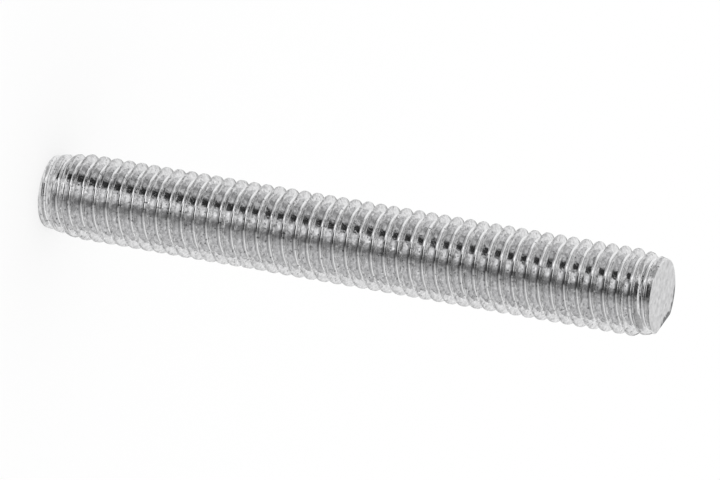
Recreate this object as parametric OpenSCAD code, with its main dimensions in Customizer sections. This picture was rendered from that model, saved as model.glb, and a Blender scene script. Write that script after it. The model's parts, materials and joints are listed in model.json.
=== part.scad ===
// Fully threaded rod, M8 x 60, cut square at both ends, where its thread tapers off.
// One side of the upper end is pinched in, as cropping leaves it.
// It stands on one end: its axis is Z, and the lower end face lies on Z = 0.

/* [Rod] */
// Length from end face to end face
rod_len = 60; // [20:1:80]
// Diameter over the crests of the thread
major_d = 7.9; // [6:0.1:16]

/* [Thread] */
// Distance that one turn of the thread climbs
pitch = 1.25; // [1:0.05:2]
// Angle between the two flanks of the thread
flank_angle = 60; // [50:1:65]
// Share of the pitch that is flat along the crest
crest_share = 0.17; // [0.05:0.01:0.3]
// Share of the pitch that is flat along the root
root_share = 0.17; // [0.05:0.01:0.3]
// Way that the thread winds
thread_hand = "right"; // [right, left]
// Facets along one turn of the thread
turn_facets = 24; // [12:4:24]

/* [Ends] */
// How far below the crests the thread has tapered off at each end face
taper_depth = 0.55; // [0.2:0.05:1]
// Length over which the thread tapers off at the lower end
lower_taper = 3.2; // [1:0.1:5]
// Length over which the thread tapers off at the upper end
upper_taper = 2.3; // [1:0.1:5]
// How far the pinched side is cut in from the rim of the upper end face
pinch_depth = 0.6; // [0.1:0.05:1.5]
// Slope of the pinched side, measured from the rod's axis
pinch_slope = 40; // [20:1:70]
// Angle around the axis at which the pinched side lies, from +X
pinch_at = 62; // [0:1:359]

/* [Hidden] */

major_r = major_d / 2;
end_face_r = major_r - taper_depth;

// The sharp triangle between the flanks is cut off at the crest and at the root.
sharp_h = pitch / 2 / tan(flank_angle / 2);
root_r = major_r - sharp_h * (1 - crest_share - root_share);

// The helical body runs past both end faces, so that the blank cuts through full thread.
spare_turns = 1.5;
end_turn = ceil((rod_len / pitch + 2 * spare_turns) * turn_facets);
last_wall = end_turn - turn_facets;

// One pitch of the thread's section as [radius, height]: root, flank, crest, flank.
section = [
    [root_r, 0],
    [root_r, root_share * pitch],
    [major_r, (1 + root_share - crest_share) * pitch / 2],
    [major_r, (1 + root_share + crest_share) * pitch / 2],
];
rows = len(section);

// Height of the lowest row after k facets along the helix
function climb(k) = (k / turn_facets - spare_turns) * pitch;

// Point of section row j after k facets along the helix
function thread_point(k, j) =
    let (a = 360 * k / turn_facets)
    [section[j][0] * cos(a), section[j][0] * sin(a), section[j][1] + climb(k)];

// Index of that point. The row past the last is the first row, one turn further on.
function at(k, j) = j < rows ? rows * k + j : rows * (k + turn_facets);

// Core and thread as one closed skin. The section is carried along the helix, and each
// end is closed by a fan around the axis and by the section where the helix breaks off.
module thread_helix() {
    foot = rows * (end_turn + 1);
    head = foot + 1;
    points = [
        for (k = [0:end_turn]) for (j = [0:rows - 1]) thread_point(k, j),
        [0, 0, climb(0)],
        [0, 0, climb(end_turn)]
    ];
    faces = [
        for (k = [0:last_wall - 1]) for (j = [0:rows - 1])
            [at(k, j), at(k, j + 1), at(k + 1, j + 1), at(k + 1, j)],
        for (k = [0:turn_facets - 1]) [foot, at(k, 0), at(k + 1, 0)],
        for (k = [last_wall:end_turn - 1]) [head, at(k + 1, 0), at(k, 0)],
        [foot, for (j = [rows:-1:0]) at(0, j)],
        [head, for (j = [0:rows]) at(last_wall, j)]
    ];
    polyhedron(points = points, faces = faces, convexity = 10);
}

// Turned blank that gives the rod its two end faces and tapers. It clears the crests.
module end_blank() {
    clearance = 0.1;
    blank_r = major_r + clearance;
    widening = (taper_depth + clearance) / taper_depth;
    rotate_extrude($fn = 96)
        polygon([
            [0, 0],
            [end_face_r, 0],
            [blank_r, lower_taper * widening],
            [blank_r, rod_len - upper_taper * widening],
            [end_face_r, rod_len],
            [0, rod_len]
        ]);
}

// Block that takes off one side of the upper end along a sloping plane
module pinched_side() {
    block = 2 * major_d;
    rotate([0, 0, pinch_at])
        translate([end_face_r - pinch_depth, 0, rod_len])
            rotate([0, -pinch_slope, 0])
                translate([0, -block / 2, -block / 2])
                    cube(block);
}

module threaded_rod() {
    color("silver")
        difference() {
            intersection() {
                mirror([0, thread_hand == "left" ? 1 : 0, 0]) thread_helix();
                end_blank();
            }
            pinched_side();
        }
}

threaded_rod();
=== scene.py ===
"""Looks of a zinc-plated threaded rod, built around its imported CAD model."""
import json
import math

import bpy
import numpy as np
from mathutils import Matrix, Vector


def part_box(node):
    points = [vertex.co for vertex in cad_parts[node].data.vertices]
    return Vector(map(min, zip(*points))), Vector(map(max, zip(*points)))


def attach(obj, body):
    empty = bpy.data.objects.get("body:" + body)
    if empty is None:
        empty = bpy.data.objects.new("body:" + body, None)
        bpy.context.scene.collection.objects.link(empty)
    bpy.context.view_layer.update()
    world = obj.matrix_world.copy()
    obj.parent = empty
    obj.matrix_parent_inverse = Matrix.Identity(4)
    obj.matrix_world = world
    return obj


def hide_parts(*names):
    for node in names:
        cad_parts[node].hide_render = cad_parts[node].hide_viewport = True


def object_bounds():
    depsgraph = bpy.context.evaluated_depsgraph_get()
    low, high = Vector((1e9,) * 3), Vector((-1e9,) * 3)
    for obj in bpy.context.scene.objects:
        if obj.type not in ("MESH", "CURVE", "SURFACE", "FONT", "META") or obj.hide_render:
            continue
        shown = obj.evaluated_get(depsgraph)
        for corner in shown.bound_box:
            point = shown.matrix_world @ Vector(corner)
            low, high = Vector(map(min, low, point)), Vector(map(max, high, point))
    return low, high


bl_info = {
    "name": "Threaded Rod",
    "version": (1, 0, 0),
    "blender": (4, 5, 0),
    "location": "3D View > Sidebar > Rod",
    "description": "Makes a zinc-plated threaded rod and the small studio that it is shown in",
    "category": "Add Mesh",
}

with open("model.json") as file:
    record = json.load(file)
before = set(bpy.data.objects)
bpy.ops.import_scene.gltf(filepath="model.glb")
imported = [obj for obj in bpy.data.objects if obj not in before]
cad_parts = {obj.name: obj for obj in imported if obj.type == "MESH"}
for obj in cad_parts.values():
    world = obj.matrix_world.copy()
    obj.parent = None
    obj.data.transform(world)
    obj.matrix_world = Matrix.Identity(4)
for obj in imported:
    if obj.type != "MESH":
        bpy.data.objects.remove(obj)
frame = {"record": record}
CAD_BOX = [list(corner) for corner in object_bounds()]

ROD_NODE = "threaded_rod"
ROD_BODY = "root"
MM = 0.001

LOW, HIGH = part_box(ROD_NODE)
MOUNTS = {mount["name"]: mount for mount in frame["record"]["mounts"]}
CREST_R = MOUNTS["upper_thread"]["dims"]["r_mm"] * MM


def grey(level):
    """Linear colour of bare zinc at a level: a grey that is very slightly blue."""
    return (level, level, level + 0.005)


# ---------------------------------------------------------------- settings

class RodSettings(bpy.types.PropertyGroup):
    """Sizes of the rod"""
    length: bpy.props.FloatProperty(
        name="Length", description="From end face to end face",
        default=HIGH.z - LOW.z, unit="LENGTH")
    crest_radius: bpy.props.FloatProperty(
        name="Crest radius", description="Radius over the crests of the thread",
        default=CREST_R, unit="LENGTH")
    pitch: bpy.props.FloatProperty(
        name="Pitch", description="Distance that one turn of the thread climbs",
        default=1.25 * MM, unit="LENGTH")
    flank_angle: bpy.props.FloatProperty(
        name="Flank angle", description="Angle between the two flanks of the thread",
        default=math.radians(60), subtype="ANGLE")
    crest_share: bpy.props.FloatProperty(
        name="Crest share", description="Share of the pitch that is flat along the crest",
        default=0.17, subtype="FACTOR")
    start_share: bpy.props.FloatProperty(
        name="Start", description="Height of the crest over +X at the lower end, in pitches",
        default=0.085, subtype="FACTOR")
    crest_round: bpy.props.FloatProperty(
        name="Crest rounding", description="Radius of the edges along the crest",
        default=0.03 * MM, unit="LENGTH")
    root_round: bpy.props.FloatProperty(
        name="Root rounding", description="Radius of the rolled root between two flanks",
        default=0.184 * MM, unit="LENGTH")
    taper_depth: bpy.props.FloatProperty(
        name="Taper depth", description="How far below the crests the thread ends at each face",
        default=0.55 * MM, unit="LENGTH")
    lower_taper: bpy.props.FloatProperty(
        name="Lower taper", description="Length over which the thread tapers off at the lower end",
        default=3.2 * MM, unit="LENGTH")
    upper_taper: bpy.props.FloatProperty(
        name="Upper taper", description="Length over which the thread tapers off at the upper end",
        default=2.3 * MM, unit="LENGTH")
    pinch_depth: bpy.props.FloatProperty(
        name="Pinch depth", description="How far one side is cut in from the rim of the upper face",
        default=0.6 * MM, unit="LENGTH")
    pinch_slope: bpy.props.FloatProperty(
        name="Pinch slope", description="Slope of the pinched side, measured from the axis",
        default=math.radians(40), subtype="ANGLE")
    pinch_at: bpy.props.FloatProperty(
        name="Pinch angle", description="Angle around the axis of the pinched side, from +X",
        default=math.radians(62), subtype="ANGLE")
    face_round: bpy.props.FloatProperty(
        name="Face rounding", description="Radius of the rim around each end face",
        default=0.06 * MM, unit="LENGTH")
    # Painted shade: how wide the dark line at the foot of the flank that faces down is, standing in
    # for the dark reflection along each root
    shade_line_width: bpy.props.FloatProperty(
        name="Seam width", description="How far from the flank's foot the dark seam fades out",
        default=0.06 * MM, min=0.01 * MM, unit="LENGTH")
    torn_width: bpy.props.FloatProperty(
        name="Torn width", description="How far the torn edge reaches in over the upper face",
        default=1.0 * MM, unit="LENGTH")
    torn_at: bpy.props.FloatProperty(
        name="Torn angle", description="Angle around the axis of the torn edge's middle, from +X",
        default=math.radians(95), subtype="ANGLE")
    waviness: bpy.props.FloatProperty(
        name="Waviness", description="Depth of the shallow hollows in the rolled surface",
        default=0.015 * MM, unit="LENGTH")
    wave_size: bpy.props.FloatProperty(
        name="Wave size", description="Distance from one shallow hollow to the next",
        default=0.55 * MM, unit="LENGTH")
    crest_wear: bpy.props.FloatProperty(
        name="Crest wear", description="Depth of the deepest nicks along the crests",
        default=0.045 * MM, unit="LENGTH")
    columns: bpy.props.IntProperty(
        name="Columns", description="Mesh columns around the rod", default=108)
    seed: bpy.props.IntProperty(
        name="Seed", description="Start of the random hollows and nicks", default=8)


class FinishSettings(bpy.types.PropertyGroup):
    """Colours of the zinc"""
    bright: bpy.props.FloatVectorProperty(
        name="Bright zinc", description="Clean plating on the thread's flanks",
        default=grey(0.80), min=0, max=1, subtype="COLOR")
    clouded: bpy.props.FloatVectorProperty(
        name="Clouded zinc", description="Dull blotches on the thread's flanks",
        default=grey(0.58), min=0, max=1, subtype="COLOR")
    crest: bpy.props.FloatVectorProperty(
        name="Crest", description="Scuffed plating along the crests",
        default=grey(0.68), min=0, max=1, subtype="COLOR")
    worn_crest: bpy.props.FloatVectorProperty(
        name="Worn crest", description="Dull blotches along the crests",
        default=grey(0.28), min=0, max=1, subtype="COLOR")
    # Lighter plating in the root: partly polish from rolling, partly a painted highlight that
    # brightens the bright line along each root
    root: bpy.props.FloatVectorProperty(
        name="Root", description="Polished plating in the root of the thread",
        default=grey(0.84), min=0, max=1, subtype="COLOR")
    # Painted shade: colour of the dark line at the foot of the flank that faces down, standing in
    # for the dark reflection along each root
    seam: bpy.props.FloatVectorProperty(
        name="Seam", description="Dark seam at the foot of the flank that faces down",
        default=grey(0.3), min=0, max=1, subtype="COLOR")
    pit: bpy.props.FloatVectorProperty(
        name="Pit", description="Pits in the thread's plating",
        default=grey(0.16), min=0, max=1, subtype="COLOR")
    fleck: bpy.props.FloatVectorProperty(
        name="Fleck", description="Bright flecks in the thread's plating",
        default=grey(0.95), min=0, max=1, subtype="COLOR")
    face: bpy.props.FloatVectorProperty(
        name="End face", description="Plating on the end faces",
        default=grey(0.68), min=0, max=1, subtype="COLOR")
    clouded_face: bpy.props.FloatVectorProperty(
        name="Clouded end face", description="Dull blotches on the end faces",
        default=grey(0.54), min=0, max=1, subtype="COLOR")
    face_pit: bpy.props.FloatVectorProperty(
        name="End face pit", description="Pits in the plating of the end faces",
        default=grey(0.45), min=0, max=1, subtype="COLOR")
    torn: bpy.props.FloatVectorProperty(
        name="Torn edge", description="Ragged patches along the torn edge",
        default=grey(0.12), min=0, max=1, subtype="COLOR")


class StudioSettings(bpy.types.PropertyGroup):
    """Camera, floor and lights"""
    azimuth: bpy.props.FloatProperty(
        name="Azimuth", description="Direction from the rod's axis to the camera, from +X",
        default=math.radians(-61.6), subtype="ANGLE")
    elevation: bpy.props.FloatProperty(
        name="Elevation", description="How far the camera looks down",
        default=math.radians(20.88), subtype="ANGLE")
    roll: bpy.props.FloatProperty(
        name="Roll", description="How far the rod's upper end drops below level in the view",
        default=math.radians(9.83), subtype="ANGLE")
    distance: bpy.props.FloatProperty(
        name="Distance", description="From the camera to the middle of the rod, along the view",
        default=762.3 * MM, unit="LENGTH")
    lens: bpy.props.FloatProperty(
        name="Lens", description="Focal length of the camera, in millimetres",
        default=420.5)
    slide: bpy.props.FloatVectorProperty(
        name="Slide", description="How far right of the view's middle, and above it, the rod's is",
        default=(-0.578 * MM, -0.281 * MM), size=2, unit="LENGTH")


# ------------------------------------------------------------------- mesh

# Angles, in degrees, at which mesh rows stand along the arcs of the root and of the rims
ROOT_BENDS = (20, 40)
RIM_BENDS = (30, 60, 90)

# Rings of points between the rim and the middle of an end face
FACE_RINGS = 10

# Distance over which the masks of the crest and the root fade
MASK_FADE = 0.05 * MM

# Least cosine of the angle from the pinched side's middle, which leaves the far side alone
PINCH_FACING = 0.1

# Cosines of the angle from the torn edge's middle at which that edge ends and is whole
TORN_END = 0.3125
TORN_WHOLE = 0.9375


def soft_plus(x, width):
    """The larger of x and 0, with the corner rounded over about the given width.

    It is half the sum of x and the root of x squared plus the width squared.
    """
    return 0.5 * (x + np.sqrt(x * x + width * width))


def thread_corners(rod):
    """Distances from the crest line at which the section's arcs start and end.

    The crest's arc touches the flat and the flank equally far from the sharp edge between
    them. The root's arc touches a flank at its radius times the cosine of half the flank
    angle from the middle of the root.
    """
    half = rod.flank_angle / 2
    turn = math.pi / 2 - half
    tangent = rod.crest_round * math.tan(turn / 2)
    crest_edge = rod.crest_share * rod.pitch / 2
    return (crest_edge - tangent, crest_edge + tangent * math.cos(turn),
            rod.pitch / 2 - rod.root_round * math.cos(half))


def thread_depth(rod, off_crest):
    """Depth below the crest at a distance from the nearest crest line, along the axis.

    The flat crest turns into the flank along a convex arc. The flank is a straight line at
    half the flank angle, and runs into the concave arc of the root, which touches both of
    its flanks.
    """
    half = rod.flank_angle / 2
    crest_end, flank_start, root_start = thread_corners(rod)
    flank = (off_crest - rod.crest_share * rod.pitch / 2) / math.tan(half)
    on_crest = np.clip(off_crest - crest_end, 0, rod.crest_round)
    crest = rod.crest_round - np.sqrt(rod.crest_round ** 2 - on_crest ** 2)
    sharp = rod.pitch * (1 - rod.crest_share) / 2 / math.tan(half)
    to_root = np.clip(rod.pitch / 2 - off_crest, 0, rod.root_round)
    root = sharp - rod.root_round / math.sin(half) + np.sqrt(rod.root_round ** 2 - to_root ** 2)
    return np.where(off_crest < flank_start, crest, np.where(off_crest > root_start, root, flank))


def rod_radius(rod, z, turn):
    """Radius of the rod at height z and at an angle given in turns.

    The thread's depth depends on the distance from the nearest crest line, and the crest
    line climbs one pitch each turn. Each end taper is a cone, and the pinched side is a
    sloping plane: both take off what stands out of them. The plane's radius is its distance
    from the axis over the cosine of the angle from its middle.
    """
    share = z / rod.pitch - turn - rod.start_share
    off_crest = np.abs(share - np.round(share)) * rod.pitch
    depth = thread_depth(rod, off_crest)
    for from_end, taper in ((z, rod.lower_taper), (rod.length - z, rod.upper_taper)):
        cone = rod.taper_depth * (1 - from_end / taper)
        depth = depth + soft_plus(cone - depth, rod.crest_round / 2)
    facing = np.maximum(np.cos(2 * np.pi * turn - rod.pinch_at), PINCH_FACING)
    face_r = rod.crest_radius - rod.taper_depth - rod.pinch_depth
    plane = face_r + (rod.length - z) * math.tan(rod.pinch_slope)
    plane_depth = rod.crest_radius - plane / facing
    depth = depth + soft_plus(plane_depth - depth, rod.crest_round)
    return rod.crest_radius - depth


def smooth_noise(rng, turn, z, cells_round, cell_height, height):
    """Random heights from 0 to 1 on a grid around the rod, joined by smooth steps.

    Each point takes the heights of the four grid corners around it. The share of each
    corner follows the smooth step 3 x^2 - 2 x^3 of the place between them.
    """
    rows = math.ceil(height / cell_height) + 2
    heights = rng.random((rows, cells_round))
    across = np.broadcast_to(turn * cells_round, z.shape)
    up = z / cell_height
    left = np.floor(across).astype(int)
    below = np.floor(up).astype(int)
    share_x, share_y = across - left, up - below
    share_x = share_x * share_x * (3 - 2 * share_x)
    share_y = share_y * share_y * (3 - 2 * share_y)
    left, right = left % cells_round, (left + 1) % cells_round
    low = heights[below, left] * (1 - share_x) + heights[below, right] * share_x
    high = heights[below + 1, left] * (1 - share_x) + heights[below + 1, right] * share_x
    return low * (1 - share_y) + high * share_y


def worn_radius(rod, z, turn):
    """The rod's radius less the shallow hollows all over it and the nicks along its crests.

    Among the hollows lie finer ones, half as deep and half as far apart. A nick is the part
    of a random height above two thirds, and fades out four times the wear below the crest.
    """
    radius = rod_radius(rod, z, turn)
    rng = np.random.default_rng(rod.seed)
    around = 2 * math.pi * rod.crest_radius
    cells = round(around / rod.wave_size)
    hollow = smooth_noise(rng, turn, z, cells, rod.wave_size, rod.length)
    fine = smooth_noise(rng, turn, z, 2 * cells, rod.wave_size / 2, rod.length)
    chance = smooth_noise(rng, turn, z, cells, rod.wave_size, rod.length)
    nick = np.clip(chance * 3 - 2, 0, 1)
    near_crest = np.clip(1 - (rod.crest_radius - radius) / (4 * rod.crest_wear), 0, 1)
    return (radius - rod.waviness * (hollow + 0.5 * fine)
            - rod.crest_wear * nick * near_crest)


def surface_normals(rod, z, turn):
    """Directions that the rod's surface faces, from how its radius changes.

    The normal is the outward direction, less the slope of the radius round the axis times
    the direction round the axis, less its slope along the axis times the axis.
    """
    step = 0.001 * MM
    arc = step / (2 * math.pi * rod.crest_radius)
    along = (worn_radius(rod, np.minimum(z + step, rod.length), turn)
             - worn_radius(rod, np.maximum(z - step, 0), turn)) / (2 * step)
    across = (worn_radius(rod, z, turn + arc) - worn_radius(rod, z, turn - arc)) / (2 * step)
    angle = 2 * np.pi * turn
    normals = np.stack([np.cos(angle) + across * np.sin(angle),
                        np.sin(angle) - across * np.cos(angle), -along], axis=-1)
    return normals / np.linalg.norm(normals, axis=-1, keepdims=True)


def row_offsets(rod):
    """Heights of the mesh rows within one pitch, as shares of it.

    They lie along the arcs and at the middle of each flank, and one is the upper edge of the
    painted shade line.
    """
    crest_end, flank_start, root_start = thread_corners(rod)
    half = rod.pitch / 2
    arc = np.sin(np.radians(ROOT_BENDS)) * rod.root_round
    rows = np.array([0, crest_end, (crest_end + flank_start) / 2, flank_start,
                     (flank_start + root_start) / 2, root_start, half - arc[1], half - arc[0],
                     half]) / rod.pitch
    # Upper edge of the painted shade line at the foot of the flank that faces down
    shade_line_edge = 1 - (root_start - rod.shade_line_width) / rod.pitch
    return np.sort(np.concatenate([rows, 1 - rows[-2:0:-1], [shade_line_edge]]))


def rod_mesh(rod):
    """The rod's threaded skin: helical rows of points between the rims of the two end faces.

    Row r of column c stands at the height of its share of the pitch plus the climb of the
    column's angle, held between the rims, and at the radius of worn_radius. The last column
    joins the first one pitch further on.
    """
    offsets = row_offsets(rod)
    per_turn = len(offsets)
    spare_turns = 2
    turns = math.ceil(rod.length / rod.pitch) + 2 * spare_turns
    column = np.arange(rod.columns)
    turn = column / rod.columns
    row = np.arange(turns * per_turn + 1)
    share = offsets[row % per_turn] + row // per_turn - spare_turns + rod.start_share
    low, high = rod.face_round, rod.length - rod.face_round
    z = np.clip((share[:, None] + turn[None, :]) * rod.pitch, low, high)
    r = worn_radius(rod, z, turn[None, :])
    angle = 2 * np.pi * turn
    points = np.stack([r * np.cos(angle), r * np.sin(angle), z], axis=-1)
    normals = surface_normals(rod, z, turn[None, :])
    # Points held at a rim fall together: all take the number of the innermost of them.
    low_first = (z <= low).sum(axis=0) - 1
    high_first = len(row) - (z >= high).sum(axis=0)
    grid_row = np.clip(row[:, None], low_first[None, :], high_first[None, :])
    index = grid_row * rod.columns + column[None, :]
    left = index[:-per_turn]
    right = np.concatenate([left[:, 1:], index[per_turn:, :1]], axis=1)
    quads = np.stack([left[:-1], right[:-1], right[1:], left[1:]], axis=-1).reshape(-1, 4)
    return points.reshape(-1, 3), normals.reshape(-1, 3), quads, index[0], index[-1]


def skin_masks(rod, points):
    """How much each point belongs to the crest, the root, the painted shade line and the torn edge.

    Each goes from 0 to 1, evenly with the distance along the axis. The painted shade line is the
    foot of
    the flank that faces down: a dark line that stands in for the dark reflection along each root.
    The torn edge runs round part of the upper face: it fades out with the distance from the edge,
    and with the cosine of the angle from its middle.
    """
    turn = np.arctan2(points[:, 1], points[:, 0]) / (2 * np.pi)
    share = points[:, 2] / rod.pitch - turn - rod.start_share
    above_crest = (share - np.round(share)) * rod.pitch
    off_crest = np.abs(above_crest)
    flank_start, root_start = thread_corners(rod)[1:]
    edge_r = rod_radius(rod, rod.length, turn)
    off_edge = np.maximum(edge_r - np.hypot(points[:, 0], points[:, 1]), rod.length - points[:, 2])
    facing = np.cos(2 * np.pi * turn - rod.torn_at)
    torn_share = np.clip((facing - TORN_END) / (TORN_WHOLE - TORN_END), 0, 1)
    return {"crest": np.clip((flank_start - off_crest) / MASK_FADE + 0.5, 0, 1),
            "root": np.clip((off_crest - root_start) / MASK_FADE, 0, 1),
            # Painted shade: mask of the dark line at the foot of the flank that faces down
            "seam": np.clip(1 - np.abs(above_crest + root_start) / rod.shade_line_width, 0, 1),
            "torn": np.clip(1 - off_edge / rod.torn_width, 0, 1) * torn_share}


def end_rings(rod, points, normals, rim, face_z, outward):
    """The rounded rim and the flat of one end face, as rings of points, and their faces.

    A ring on the rim is drawn in by one minus the cosine of its angle and raised by the
    sine, both times the rim's radius. A ring on the flat has its share of the width of the
    last ring on the rim.
    """
    edge = points[rim]
    out = edge[:, :2] / np.linalg.norm(edge[:, :2], axis=1)[:, None]
    bend = np.radians(RIM_BENDS)
    drawn = rod.face_round * (1 - np.cos(bend))
    round_xy = edge[None, :, :2] - out[None] * drawn[:, None, None]
    round_z = face_z - outward * rod.face_round * (1 - np.sin(bend))
    shares = np.linspace(1, 0, FACE_RINGS + 2)[1:-1]
    flat_xy = round_xy[-1][None] * shares[:, None, None]
    xy = np.concatenate([round_xy, flat_xy])
    heights = np.concatenate([round_z, np.full(len(shares), face_z)])
    rings = np.concatenate([xy, np.broadcast_to(heights[:, None, None], xy.shape[:2] + (1,))],
                           axis=2)
    count = len(points)
    columns = len(rim)
    index = count + np.arange(len(rings) * columns).reshape(len(rings), columns)
    index = np.concatenate([rim[None, :], index], axis=0)
    centre = count + len(rings) * columns
    turned = np.roll(index, -1, axis=1)
    quads = np.stack([index[:-1], turned[:-1], turned[1:], index[1:]], axis=-1).reshape(-1, 4)
    fan = np.stack([index[-1], turned[-1], np.full(columns, centre)], axis=-1)
    if outward < 0:
        quads, fan = quads[:, ::-1], fan[:, ::-1]
    new = np.concatenate([rings.reshape(-1, 3), [[0, 0, face_z]]])
    tilt = np.concatenate([bend, np.full(len(shares), math.pi / 2)])[:, None]
    facing = np.concatenate([out[None] * np.cos(tilt)[..., None],
                             np.broadcast_to(outward * np.sin(tilt)[..., None],
                                             (len(rings), columns, 1))], axis=2)
    facing = np.concatenate([facing.reshape(-1, 3), [[0, 0, outward]]])
    return np.concatenate([points, new]), np.concatenate([normals, facing]), quads, fan


def tidy_faces(quads):
    """Whole quads, and triangles for the quads with one doubled corner. The rest is dropped."""
    following = np.roll(quads, -1, axis=1)
    doubled = quads == following
    count = doubled.sum(axis=1)
    whole = quads[count == 0]
    thin = quads[count == 1]
    spot = doubled[count == 1].argmax(axis=1)
    keep = (spot[:, None] + np.arange(1, 4)[None, :]) % 4
    thin = np.take_along_axis(thin, keep, axis=1)
    distinct = (thin[:, 0] != thin[:, 1]) & (thin[:, 1] != thin[:, 2]) & (thin[:, 2] != thin[:, 0])
    return whole, thin[distinct]


def mesh_object(name, points, quads, triangles, values, normals=None):
    """A mesh object at the origin, holding only the points that its faces use.

    The values are named numbers, one for each point, that a material can read. With
    normals, the surface is shaded smooth along them, and without them it is shaded flat.
    """
    corners = np.concatenate([quads.ravel(), triangles.ravel()])
    used, corners = np.unique(corners, return_inverse=True)
    mesh = bpy.data.meshes.new(name)
    mesh.vertices.add(len(used))
    mesh.vertices.foreach_set("co", points[used].ravel())
    mesh.loops.add(len(corners))
    mesh.loops.foreach_set("vertex_index", corners.astype(np.int32))
    sizes = np.concatenate([np.full(len(quads), 4), np.full(len(triangles), 3)])
    starts = np.concatenate([[0], np.cumsum(sizes)[:-1]])
    mesh.polygons.add(len(sizes))
    mesh.polygons.foreach_set("loop_start", starts.astype(np.int32))
    mesh.update(calc_edges=True)
    for label, numbers in values.items():
        layer = mesh.attributes.new(label, "FLOAT", "POINT")
        layer.data.foreach_set("value", np.asarray(numbers)[used].astype(np.float32))
    mesh.validate()
    mesh.polygons.foreach_set("use_smooth", np.full(len(sizes), normals is not None))
    if normals is not None:
        mesh.normals_split_custom_set_from_vertices(normals[used].tolist())
    made = bpy.data.objects.new(name, mesh)
    bpy.context.scene.collection.objects.link(made)
    return made


# -------------------------------------------------------------- materials

# How the grain and the blotches are drawn out round the rod
ROLLED_SCALE = (0.7, 0.7, 1.6)

# Levels at which a value of a random pattern starts to count, and counts in full
BLOTCH_LEVELS = (0.35, 0.65)
PIT_LEVELS = (0.72, 0.95)
FLECK_LEVELS = (0.14, 0.06)
CELL_LEVELS = (0.42, 0.12)
TORN_LEVELS = (0.2, 0.28)

# Grain height, in millimetres, on the flanks and on the crests
GRAIN_HEIGHTS = (0.002, 0.006)

# Roughness of clean and of clouded plating, and how much rougher the crests are
THREAD_ROUGHNESS = (0.04, 0.12)
FACE_ROUGHNESS = (0.32, 0.42)
CREST_ROUGHNESS = 0.2

# Share of the light that the paper scatters: it glows with the rest
PAPER_SCATTER = 0.3


def add_node(tree, kind, inputs=(), **settings):
    """Adds a node, sets it up, and links or sets its inputs by name or number."""
    node = tree.nodes.new(kind)
    for name, value in settings.items():
        setattr(node, name, value)
    for name, value in dict(inputs).items():
        if isinstance(value, bpy.types.NodeSocket):
            tree.links.new(value, node.inputs[name])
        else:
            node.inputs[name].default_value = value
    return node


def add_math(tree, operation, first, second, third=None):
    """Adds one step of arithmetic and returns its result."""
    inputs = {0: first, 1: second}
    if third is not None:
        inputs[2] = third
    return add_node(tree, "ShaderNodeMath", inputs, operation=operation).outputs[0]


def add_range(tree, value, levels=(0.0, 1.0), results=(0.0, 1.0)):
    """Carries a value from one range into another, held at both ends."""
    inputs = {"Value": value, "From Min": levels[0], "From Max": levels[1],
              "To Min": results[0], "To Max": results[1]}
    return add_node(tree, "ShaderNodeMapRange", inputs).outputs["Result"]


def add_noise(tree, place, scale, detail=2.0, roughness=0.5):
    """Adds a soft noise of the given scale, in cycles per metre."""
    inputs = {"Vector": place, "Scale": scale, "Detail": detail, "Roughness": roughness}
    return add_node(tree, "ShaderNodeTexNoise", inputs).outputs["Fac"]


def new_group(name, inputs, outputs):
    """A shader node group with float inputs, and its input and output nodes."""
    group = bpy.data.node_groups.new(name, "ShaderNodeTree")
    for label, default in inputs.items():
        socket = group.interface.new_socket(label, in_out="INPUT", socket_type="NodeSocketFloat")
        socket.default_value = default
    for label in outputs:
        group.interface.new_socket(label, in_out="OUTPUT", socket_type="NodeSocketFloat")
    return group, group.nodes.new("NodeGroupInput"), group.nodes.new("NodeGroupOutput")


def plating_group():
    """Uneven plating: its height in millimetres, and masks of blotches, pits and flecks.

    The height adds two soft noises, one for the waves and one for the grain, and takes off
    the pits. A pit or a fleck is the inside of a few of the cells of a cell pattern. The
    grain and the blotches are drawn out round the rod, the way that its thread was rolled.
    """
    group, given, result = new_group(
        "uneven plating",
        {"Wave Height": 0.01, "Wave Scale": 2500.0, "Grain Height": 0.002,
         "Grain Scale": 9000.0, "Blotch Scale": 4500.0, "Pit Scale": 3200.0, "Pit Depth": 0.01},
        ("Height", "Blotch", "Pit", "Fleck"))
    place = add_node(group, "ShaderNodeTexCoord").outputs["Object"]
    rolled = add_node(group, "ShaderNodeMapping",
                      {"Vector": place, "Scale": ROLLED_SCALE}).outputs["Vector"]
    wave = add_noise(group, place, given.outputs["Wave Scale"], 1.0)
    grain = add_noise(group, rolled, given.outputs["Grain Scale"], 2.0)
    blotch = add_noise(group, rolled, given.outputs["Blotch Scale"], 3.0, 0.6)
    cells = add_node(group, "ShaderNodeTexVoronoi",
                     {"Vector": place, "Scale": given.outputs["Pit Scale"]})
    parts = add_node(group, "ShaderNodeSeparateColor", {"Color": cells.outputs["Color"]})
    inside = add_range(group, cells.outputs["Distance"], CELL_LEVELS)
    pit = add_math(group, "MULTIPLY", add_range(group, parts.outputs[0], PIT_LEVELS), inside)
    fleck = add_math(group, "MULTIPLY", add_range(group, parts.outputs[0], FLECK_LEVELS), inside)
    height = add_math(group, "MULTIPLY", wave, given.outputs["Wave Height"])
    height = add_math(group, "MULTIPLY_ADD", grain, given.outputs["Grain Height"], height)
    sunk = add_math(group, "MULTIPLY", pit, given.outputs["Pit Depth"])
    height = add_math(group, "SUBTRACT", height, sunk)
    group.links.new(height, result.inputs["Height"])
    group.links.new(add_range(group, blotch, BLOTCH_LEVELS), result.inputs["Blotch"])
    group.links.new(pit, result.inputs["Pit"])
    group.links.new(fleck, result.inputs["Fleck"])
    return group


def torn_group():
    """Ragged patches along the torn edge: its mask times a soft noise, cut off at a level."""
    group, given, result = new_group("torn edge", {"Edge": 0.0, "Scale": 2500.0}, ("Patch",))
    place = add_node(group, "ShaderNodeTexCoord").outputs["Object"]
    noise = add_noise(group, place, given.outputs["Scale"], 3.0)
    ragged = add_math(group, "MULTIPLY", given.outputs["Edge"], noise)
    group.links.new(add_range(group, ragged, TORN_LEVELS), result.inputs["Patch"])
    return group


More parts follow.
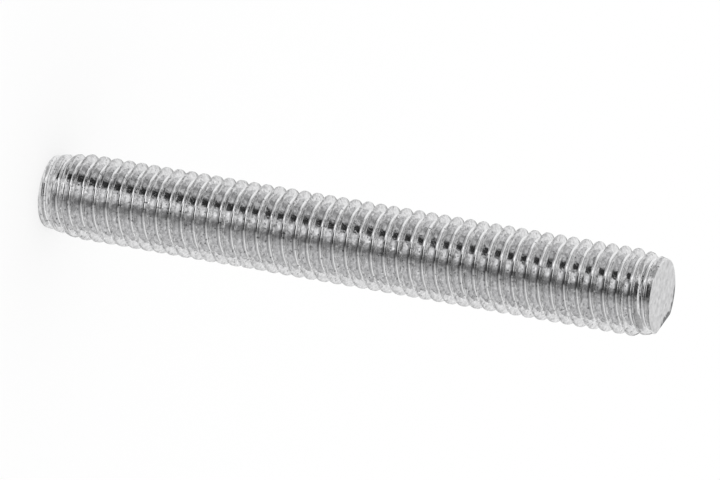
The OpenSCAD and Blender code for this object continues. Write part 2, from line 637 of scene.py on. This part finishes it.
def mix_colour(tree, share, first, second):
    """Mixes two colours by a share from 0 to 1."""
    mix = tree.nodes.new("ShaderNodeMix")
    mix.data_type = "RGBA"
    for socket, value in ((mix.inputs[0], share), (mix.inputs[6], first), (mix.inputs[7], second)):
        if isinstance(value, bpy.types.NodeSocket):
            tree.links.new(value, socket)
        elif isinstance(value, float):
            socket.default_value = value
        else:
            socket.default_value = (*value, 1)
    return mix.outputs[2]


def read_value(tree, name):
    """Reads one of the named values that the mesh holds for each point."""
    return add_node(tree, "ShaderNodeAttribute", attribute_name=name).outputs["Fac"]


def metal_material(name, plating, values):
    """A metal with the given uneven plating.

    Returns the material, its node tree, its shader and the plating's node.
    """
    material = bpy.data.materials.new(name)
    material.use_nodes = True
    tree = material.node_tree
    shader = tree.nodes["Principled BSDF"]
    shader.inputs["Metallic"].default_value = 1
    uneven = add_node(tree, "ShaderNodeGroup", node_tree=plating)
    for label, value in values.items():
        uneven.inputs[label].default_value = value
    height = add_math(tree, "MULTIPLY", uneven.outputs["Height"], MM)
    bump = add_node(tree, "ShaderNodeBump", {"Height": height, "Distance": 1.0, "Strength": 1.0})
    tree.links.new(bump.outputs["Normal"], shader.inputs["Normal"])
    return material, tree, shader, uneven


def thread_material(finish, plating, torn_edge):
    """Bright zinc over the rolled thread, scuffed along its crests, lighter in its root as polish
    and in part as a painted highlight, and with a dark line of painted shade at the foot of the
    flank that faces down.
    """
    material, tree, shader, uneven = metal_material(
        "bright zinc", plating,
        {"Wave Height": 0.02, "Wave Scale": 2400.0, "Grain Scale": 7000.0,
         "Blotch Scale": 3600.0, "Pit Scale": 3400.0, "Pit Depth": 0.01})
    crest, root, seam, torn = (read_value(tree, name) for name in ("crest", "root", "seam", "torn"))
    patch = add_node(tree, "ShaderNodeGroup", {"Edge": torn}, node_tree=torn_edge)
    grain = add_range(tree, crest, results=GRAIN_HEIGHTS)
    tree.links.new(grain, uneven.inputs["Grain Height"])
    colour = mix_colour(tree, uneven.outputs["Blotch"], finish.bright, finish.clouded)
    scuffed = mix_colour(tree, uneven.outputs["Blotch"], finish.crest, finish.worn_crest)
    colour = mix_colour(tree, crest, colour, scuffed)
    # Lighter root colour: polished plating, and in part a painted highlight along the root line
    colour = mix_colour(tree, root, colour, finish.root)
    # Painted shade: the dark line at the foot of the flank that faces down
    colour = mix_colour(tree, seam, colour, finish.seam)
    colour = mix_colour(tree, uneven.outputs["Pit"], colour, finish.pit)
    colour = mix_colour(tree, uneven.outputs["Fleck"], colour, finish.fleck)
    colour = mix_colour(tree, patch.outputs["Patch"], colour, finish.torn)
    tree.links.new(colour, shader.inputs["Base Color"])
    base = add_range(tree, uneven.outputs["Blotch"], results=THREAD_ROUGHNESS)
    rough = add_math(tree, "MULTIPLY_ADD", crest, CREST_ROUGHNESS, base)
    tree.links.new(rough, shader.inputs["Roughness"])
    return material


def face_material(finish, plating, torn_edge):
    """Duller zinc over the cropped end faces."""
    material, tree, shader, uneven = metal_material(
        "dull zinc", plating,
        {"Wave Height": 0.012, "Wave Scale": 1300.0, "Grain Height": 0.004,
         "Grain Scale": 6000.0, "Blotch Scale": 2500.0, "Pit Scale": 1600.0, "Pit Depth": 0.004})
    patch = add_node(tree, "ShaderNodeGroup", {"Edge": read_value(tree, "torn")},
                     node_tree=torn_edge)
    colour = mix_colour(tree, uneven.outputs["Blotch"], finish.face, finish.clouded_face)
    colour = mix_colour(tree, uneven.outputs["Pit"], colour, finish.face_pit)
    colour = mix_colour(tree, patch.outputs["Patch"], colour, finish.torn)
    tree.links.new(colour, shader.inputs["Base Color"])
    rough = add_range(tree, uneven.outputs["Blotch"], results=FACE_ROUGHNESS)
    tree.links.new(rough, shader.inputs["Roughness"])
    return material


def seen_ray(tree):
    """1 on rays from the camera and on glossy and transmitted rays, and 0 on scattered ones."""
    path = add_node(tree, "ShaderNodeLightPath").outputs
    passed_on = add_math(tree, "MAXIMUM", path["Is Glossy Ray"], path["Is Transmission Ray"])
    return add_math(tree, "MAXIMUM", path["Is Camera Ray"], passed_on)


def floor_material():
    """White paper: what it scatters and what it glows with add up to 1 where no shadow falls."""
    material = bpy.data.materials.new("white paper")
    material.use_nodes = True
    tree = material.node_tree
    tree.nodes.clear()
    scattered = (PAPER_SCATTER, PAPER_SCATTER, PAPER_SCATTER, 1)
    paper = add_node(tree, "ShaderNodeBsdfDiffuse", {"Color": scattered}).outputs[0]
    strength = add_math(tree, "MULTIPLY", seen_ray(tree), 1 - PAPER_SCATTER)
    glow = add_node(tree, "ShaderNodeEmission", {"Strength": strength}).outputs[0]
    both = add_node(tree, "ShaderNodeAddShader", {0: paper, 1: glow}).outputs[0]
    add_node(tree, "ShaderNodeOutputMaterial", {"Surface": both})
    return material


def card_material():
    """Cards and lamps round the rod, each as bright as the attribute named glow says."""
    material = bpy.data.materials.new("cards and lamps")
    material.use_nodes = True
    tree = material.node_tree
    tree.nodes.clear()
    glow = add_node(tree, "ShaderNodeEmission", {"Strength": read_value(tree, "glow")})
    add_node(tree, "ShaderNodeOutputMaterial", {"Surface": glow.outputs[0]})
    return material


# ----------------------------------------------------------------- studio

# Cards and lamps round the rod: from one direction to another, in degrees round from the
# camera, and how bright each is, where 1 is as bright as the paper and the world. Below 1 it
# is a grey or black card, and above 1 a soft lamp. A later one covers an earlier one.
NEAR_CARDS = ((-90, -85, 0.5), (-55, -40, 0.05), (-20, -10, 1.4), (5, 40, 0.7), (15, 20, 0.3),
              (170, 190, 0.4))
FAR_CARDS = ((-15, 40, 0.5), (5, 20, 0.1), (170, 190, 0.4))
STANDING_CARDS = ((-85, -60, 0.5), (-40, -40, 1.4), (15, 120, 0.55), (-25, 10, 0.05))

# Degrees beside each card over which it fades out
CARD_FADE = 15

# Radius and height of the edges between which the cards reach. The near and the far ones lie
# just above the floor, and the standing ones rise where the far ones end.
CARD_LIFT = 0.2 * MM
NEAR_EDGES = ((6 * MM, CARD_LIFT), (100 * MM, CARD_LIFT))
FAR_EDGES = ((120 * MM, CARD_LIFT), (400 * MM, CARD_LIFT))
STANDING_EDGES = ((400 * MM, 50 * MM), (400 * MM, 600 * MM))

# Side of the square floor
FLOOR_SIZE = 4000 * MM


def card_brightness(cards, directions):
    """Brightness of a ring of cards in each direction.

    It starts at 1. A card's share is 1 across the card and falls evenly to 0 beside it, and
    one card after another draws the brightness towards its own by that share.
    """
    brightness = np.ones(len(directions))
    for start, end, level in cards:
        off_middle = np.abs((directions - (start + end) / 2 + 180) % 360 - 180)
        share = np.clip(1 - (off_middle - (end - start) / 2) / CARD_FADE, 0, 1)
        brightness += share * (level - brightness)
    return brightness


def light_cards(studio):
    """Cards and lamps that only the rod's reflections show, lying on the floor and standing.

    The profile through their edges is carried round the rod's axis, and is left out where it
    would be as bright as the paper, so that the paper and the world show there.
    """
    directions = np.arange(-180, 180)
    near, far, standing = (card_brightness(cards, directions)
                           for cards in (NEAR_CARDS, FAR_CARDS, STANDING_CARDS))
    glow = np.concatenate([near, near, far, far, standing, standing])
    edges = np.array(NEAR_EDGES + FAR_EDGES + STANDING_EDGES)
    radius, height = edges[:, :1], edges[:, 1:]
    angle = studio.azimuth + np.radians(directions)[None, :]
    points = np.stack([radius * np.cos(angle), radius * np.sin(angle), height + 0 * angle],
                      axis=-1).reshape(-1, 3)
    index = np.arange(len(points)).reshape(len(radius), -1)
    turned = np.roll(index, -1, axis=1)
    quads = np.stack([index[:-1], turned[:-1], turned[1:], index[1:]], axis=-1).reshape(-1, 4)
    quads = quads[(glow[quads] != 1).any(axis=1)]
    cards = mesh_object("light_cards", points, quads, np.zeros((0, 3), int), {"glow": glow})
    cards.data.materials.append(card_material())
    cards.visible_camera = False
    cards.visible_diffuse = False
    cards.visible_shadow = False


def studio_floor():
    """A wide sheet of white paper on Z = 0: a square grid of two by two points."""
    side = np.array([-0.5, 0.5]) * FLOOR_SIZE
    x, y = np.meshgrid(side, side)
    points = np.stack([x, y, 0 * x], axis=-1).reshape(-1, 3)
    floor = mesh_object("floor", points, np.array([[0, 1, 3, 2]]), np.zeros((0, 3), int), {})
    floor.data.materials.append(floor_material())


def studio_world():
    """An even white world."""
    world = bpy.data.worlds.new("studio")
    world.use_nodes = True
    background = world.node_tree.nodes["Background"]
    background.inputs["Color"].default_value = (1, 1, 1, 1)
    background.inputs["Strength"].default_value = 1.0
    return world


def studio_camera(studio):
    """The camera: it looks at the rod's middle, turned so that the rod lies across the view.

    Forward is the direction in which it looks. Right is the direction of the rod's axis as
    seen from there, turned by the roll, and down is at right angles to both.
    """
    low, high = (Vector(corner) for corner in CAD_BOX)
    middle = (low + high) / 2
    up = Vector((0, 0, 1))
    back = Vector((math.cos(studio.azimuth), math.sin(studio.azimuth), 0))
    side = Vector((-math.sin(studio.azimuth), math.cos(studio.azimuth), 0))
    forward = -math.cos(studio.elevation) * back - math.sin(studio.elevation) * up
    along = math.cos(studio.elevation) * up - math.sin(studio.elevation) * back
    right = math.cos(studio.roll) * along - math.sin(studio.roll) * side
    down = math.sin(studio.roll) * along + math.cos(studio.roll) * side
    position = middle - forward * studio.distance - right * studio.slide[0] + down * studio.slide[1]
    data = bpy.data.cameras.new("camera")
    data.lens = studio.lens
    data.clip_start = 0.01
    data.clip_end = 20
    camera = bpy.data.objects.new("camera", data)
    camera.matrix_world = Matrix.Translation(position) @ Matrix(
        (right, -down, -forward)).transposed().to_4x4()
    return camera


# -------------------------------------------------------------- operators

class ROD_OT_threaded_rod(bpy.types.Operator):
    """Makes the threaded rod as one closed skin"""
    bl_idname = "rod.threaded_rod"
    bl_label = "Threaded Rod"

    def execute(self, context):
        rod = context.scene.rod_settings
        finish = context.scene.finish_settings
        points, normals, thread_quads, low_rim, high_rim = rod_mesh(rod)
        points, normals, low_quads, low_fan = end_rings(rod, points, normals, low_rim, 0, -1)
        points, normals, high_quads, high_fan = end_rings(
            rod, points, normals, high_rim, rod.length, 1)
        thread_quads, thread_triangles = tidy_faces(thread_quads)
        quads = np.concatenate([thread_quads, low_quads, high_quads])
        triangles = np.concatenate([thread_triangles, low_fan, high_fan])
        masks = skin_masks(rod, points)
        skin = mesh_object("rod_skin", points, quads, triangles, masks, normals)
        plating, torn_edge = plating_group(), torn_group()
        skin.data.materials.append(thread_material(finish, plating, torn_edge))
        skin.data.materials.append(face_material(finish, plating, torn_edge))
        on_face = np.zeros(len(quads) + len(triangles), dtype=np.int32)
        rim_quads = len(RIM_BENDS) * rod.columns
        on_face[len(thread_quads) + rim_quads:len(thread_quads) + len(low_quads)] = 1
        on_face[len(thread_quads) + len(low_quads) + rim_quads:len(quads)] = 1
        on_face[len(quads) + len(thread_triangles):] = 1
        skin.data.polygons.foreach_set("material_index", on_face)
        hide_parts(ROD_NODE)
        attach(skin, ROD_BODY)
        return {"FINISHED"}


class ROD_OT_studio(bpy.types.Operator):
    """Makes the camera, the floor and the lights"""
    bl_idname = "rod.studio"
    bl_label = "Studio"

    def execute(self, context):
        scene = context.scene
        scene.camera = studio_camera(scene.studio_settings)
        scene.collection.objects.link(scene.camera)
        scene.world = studio_world()
        scene.view_settings.view_transform = "Standard"
        studio_floor()
        light_cards(scene.studio_settings)
        return {"FINISHED"}


class ROD_PT_panel(bpy.types.Panel):
    """Lists the rod's operators"""
    bl_label = "Threaded Rod"
    bl_idname = "ROD_PT_panel"
    bl_space_type = "VIEW_3D"
    bl_region_type = "UI"
    bl_category = "Rod"

    def draw(self, context):
        for operator in OPERATORS:
            self.layout.operator(operator.bl_idname)


OPERATORS = (ROD_OT_threaded_rod, ROD_OT_studio)
CLASSES = (RodSettings, FinishSettings, StudioSettings, *OPERATORS, ROD_PT_panel)


def register():
    """Adds the settings, the operators and the panel."""
    for each in CLASSES:
        bpy.utils.register_class(each)
    bpy.types.Scene.rod_settings = bpy.props.PointerProperty(type=RodSettings)
    bpy.types.Scene.finish_settings = bpy.props.PointerProperty(type=FinishSettings)
    bpy.types.Scene.studio_settings = bpy.props.PointerProperty(type=StudioSettings)


def unregister():
    """Takes them out again."""
    del bpy.types.Scene.studio_settings
    del bpy.types.Scene.finish_settings
    del bpy.types.Scene.rod_settings
    for each in reversed(CLASSES):
        bpy.utils.unregister_class(each)


def main():
    """Builds the rod and its studio."""
    register()
    bpy.ops.rod.threaded_rod()
    bpy.ops.rod.studio()


if __name__ == "__main__":
    main()
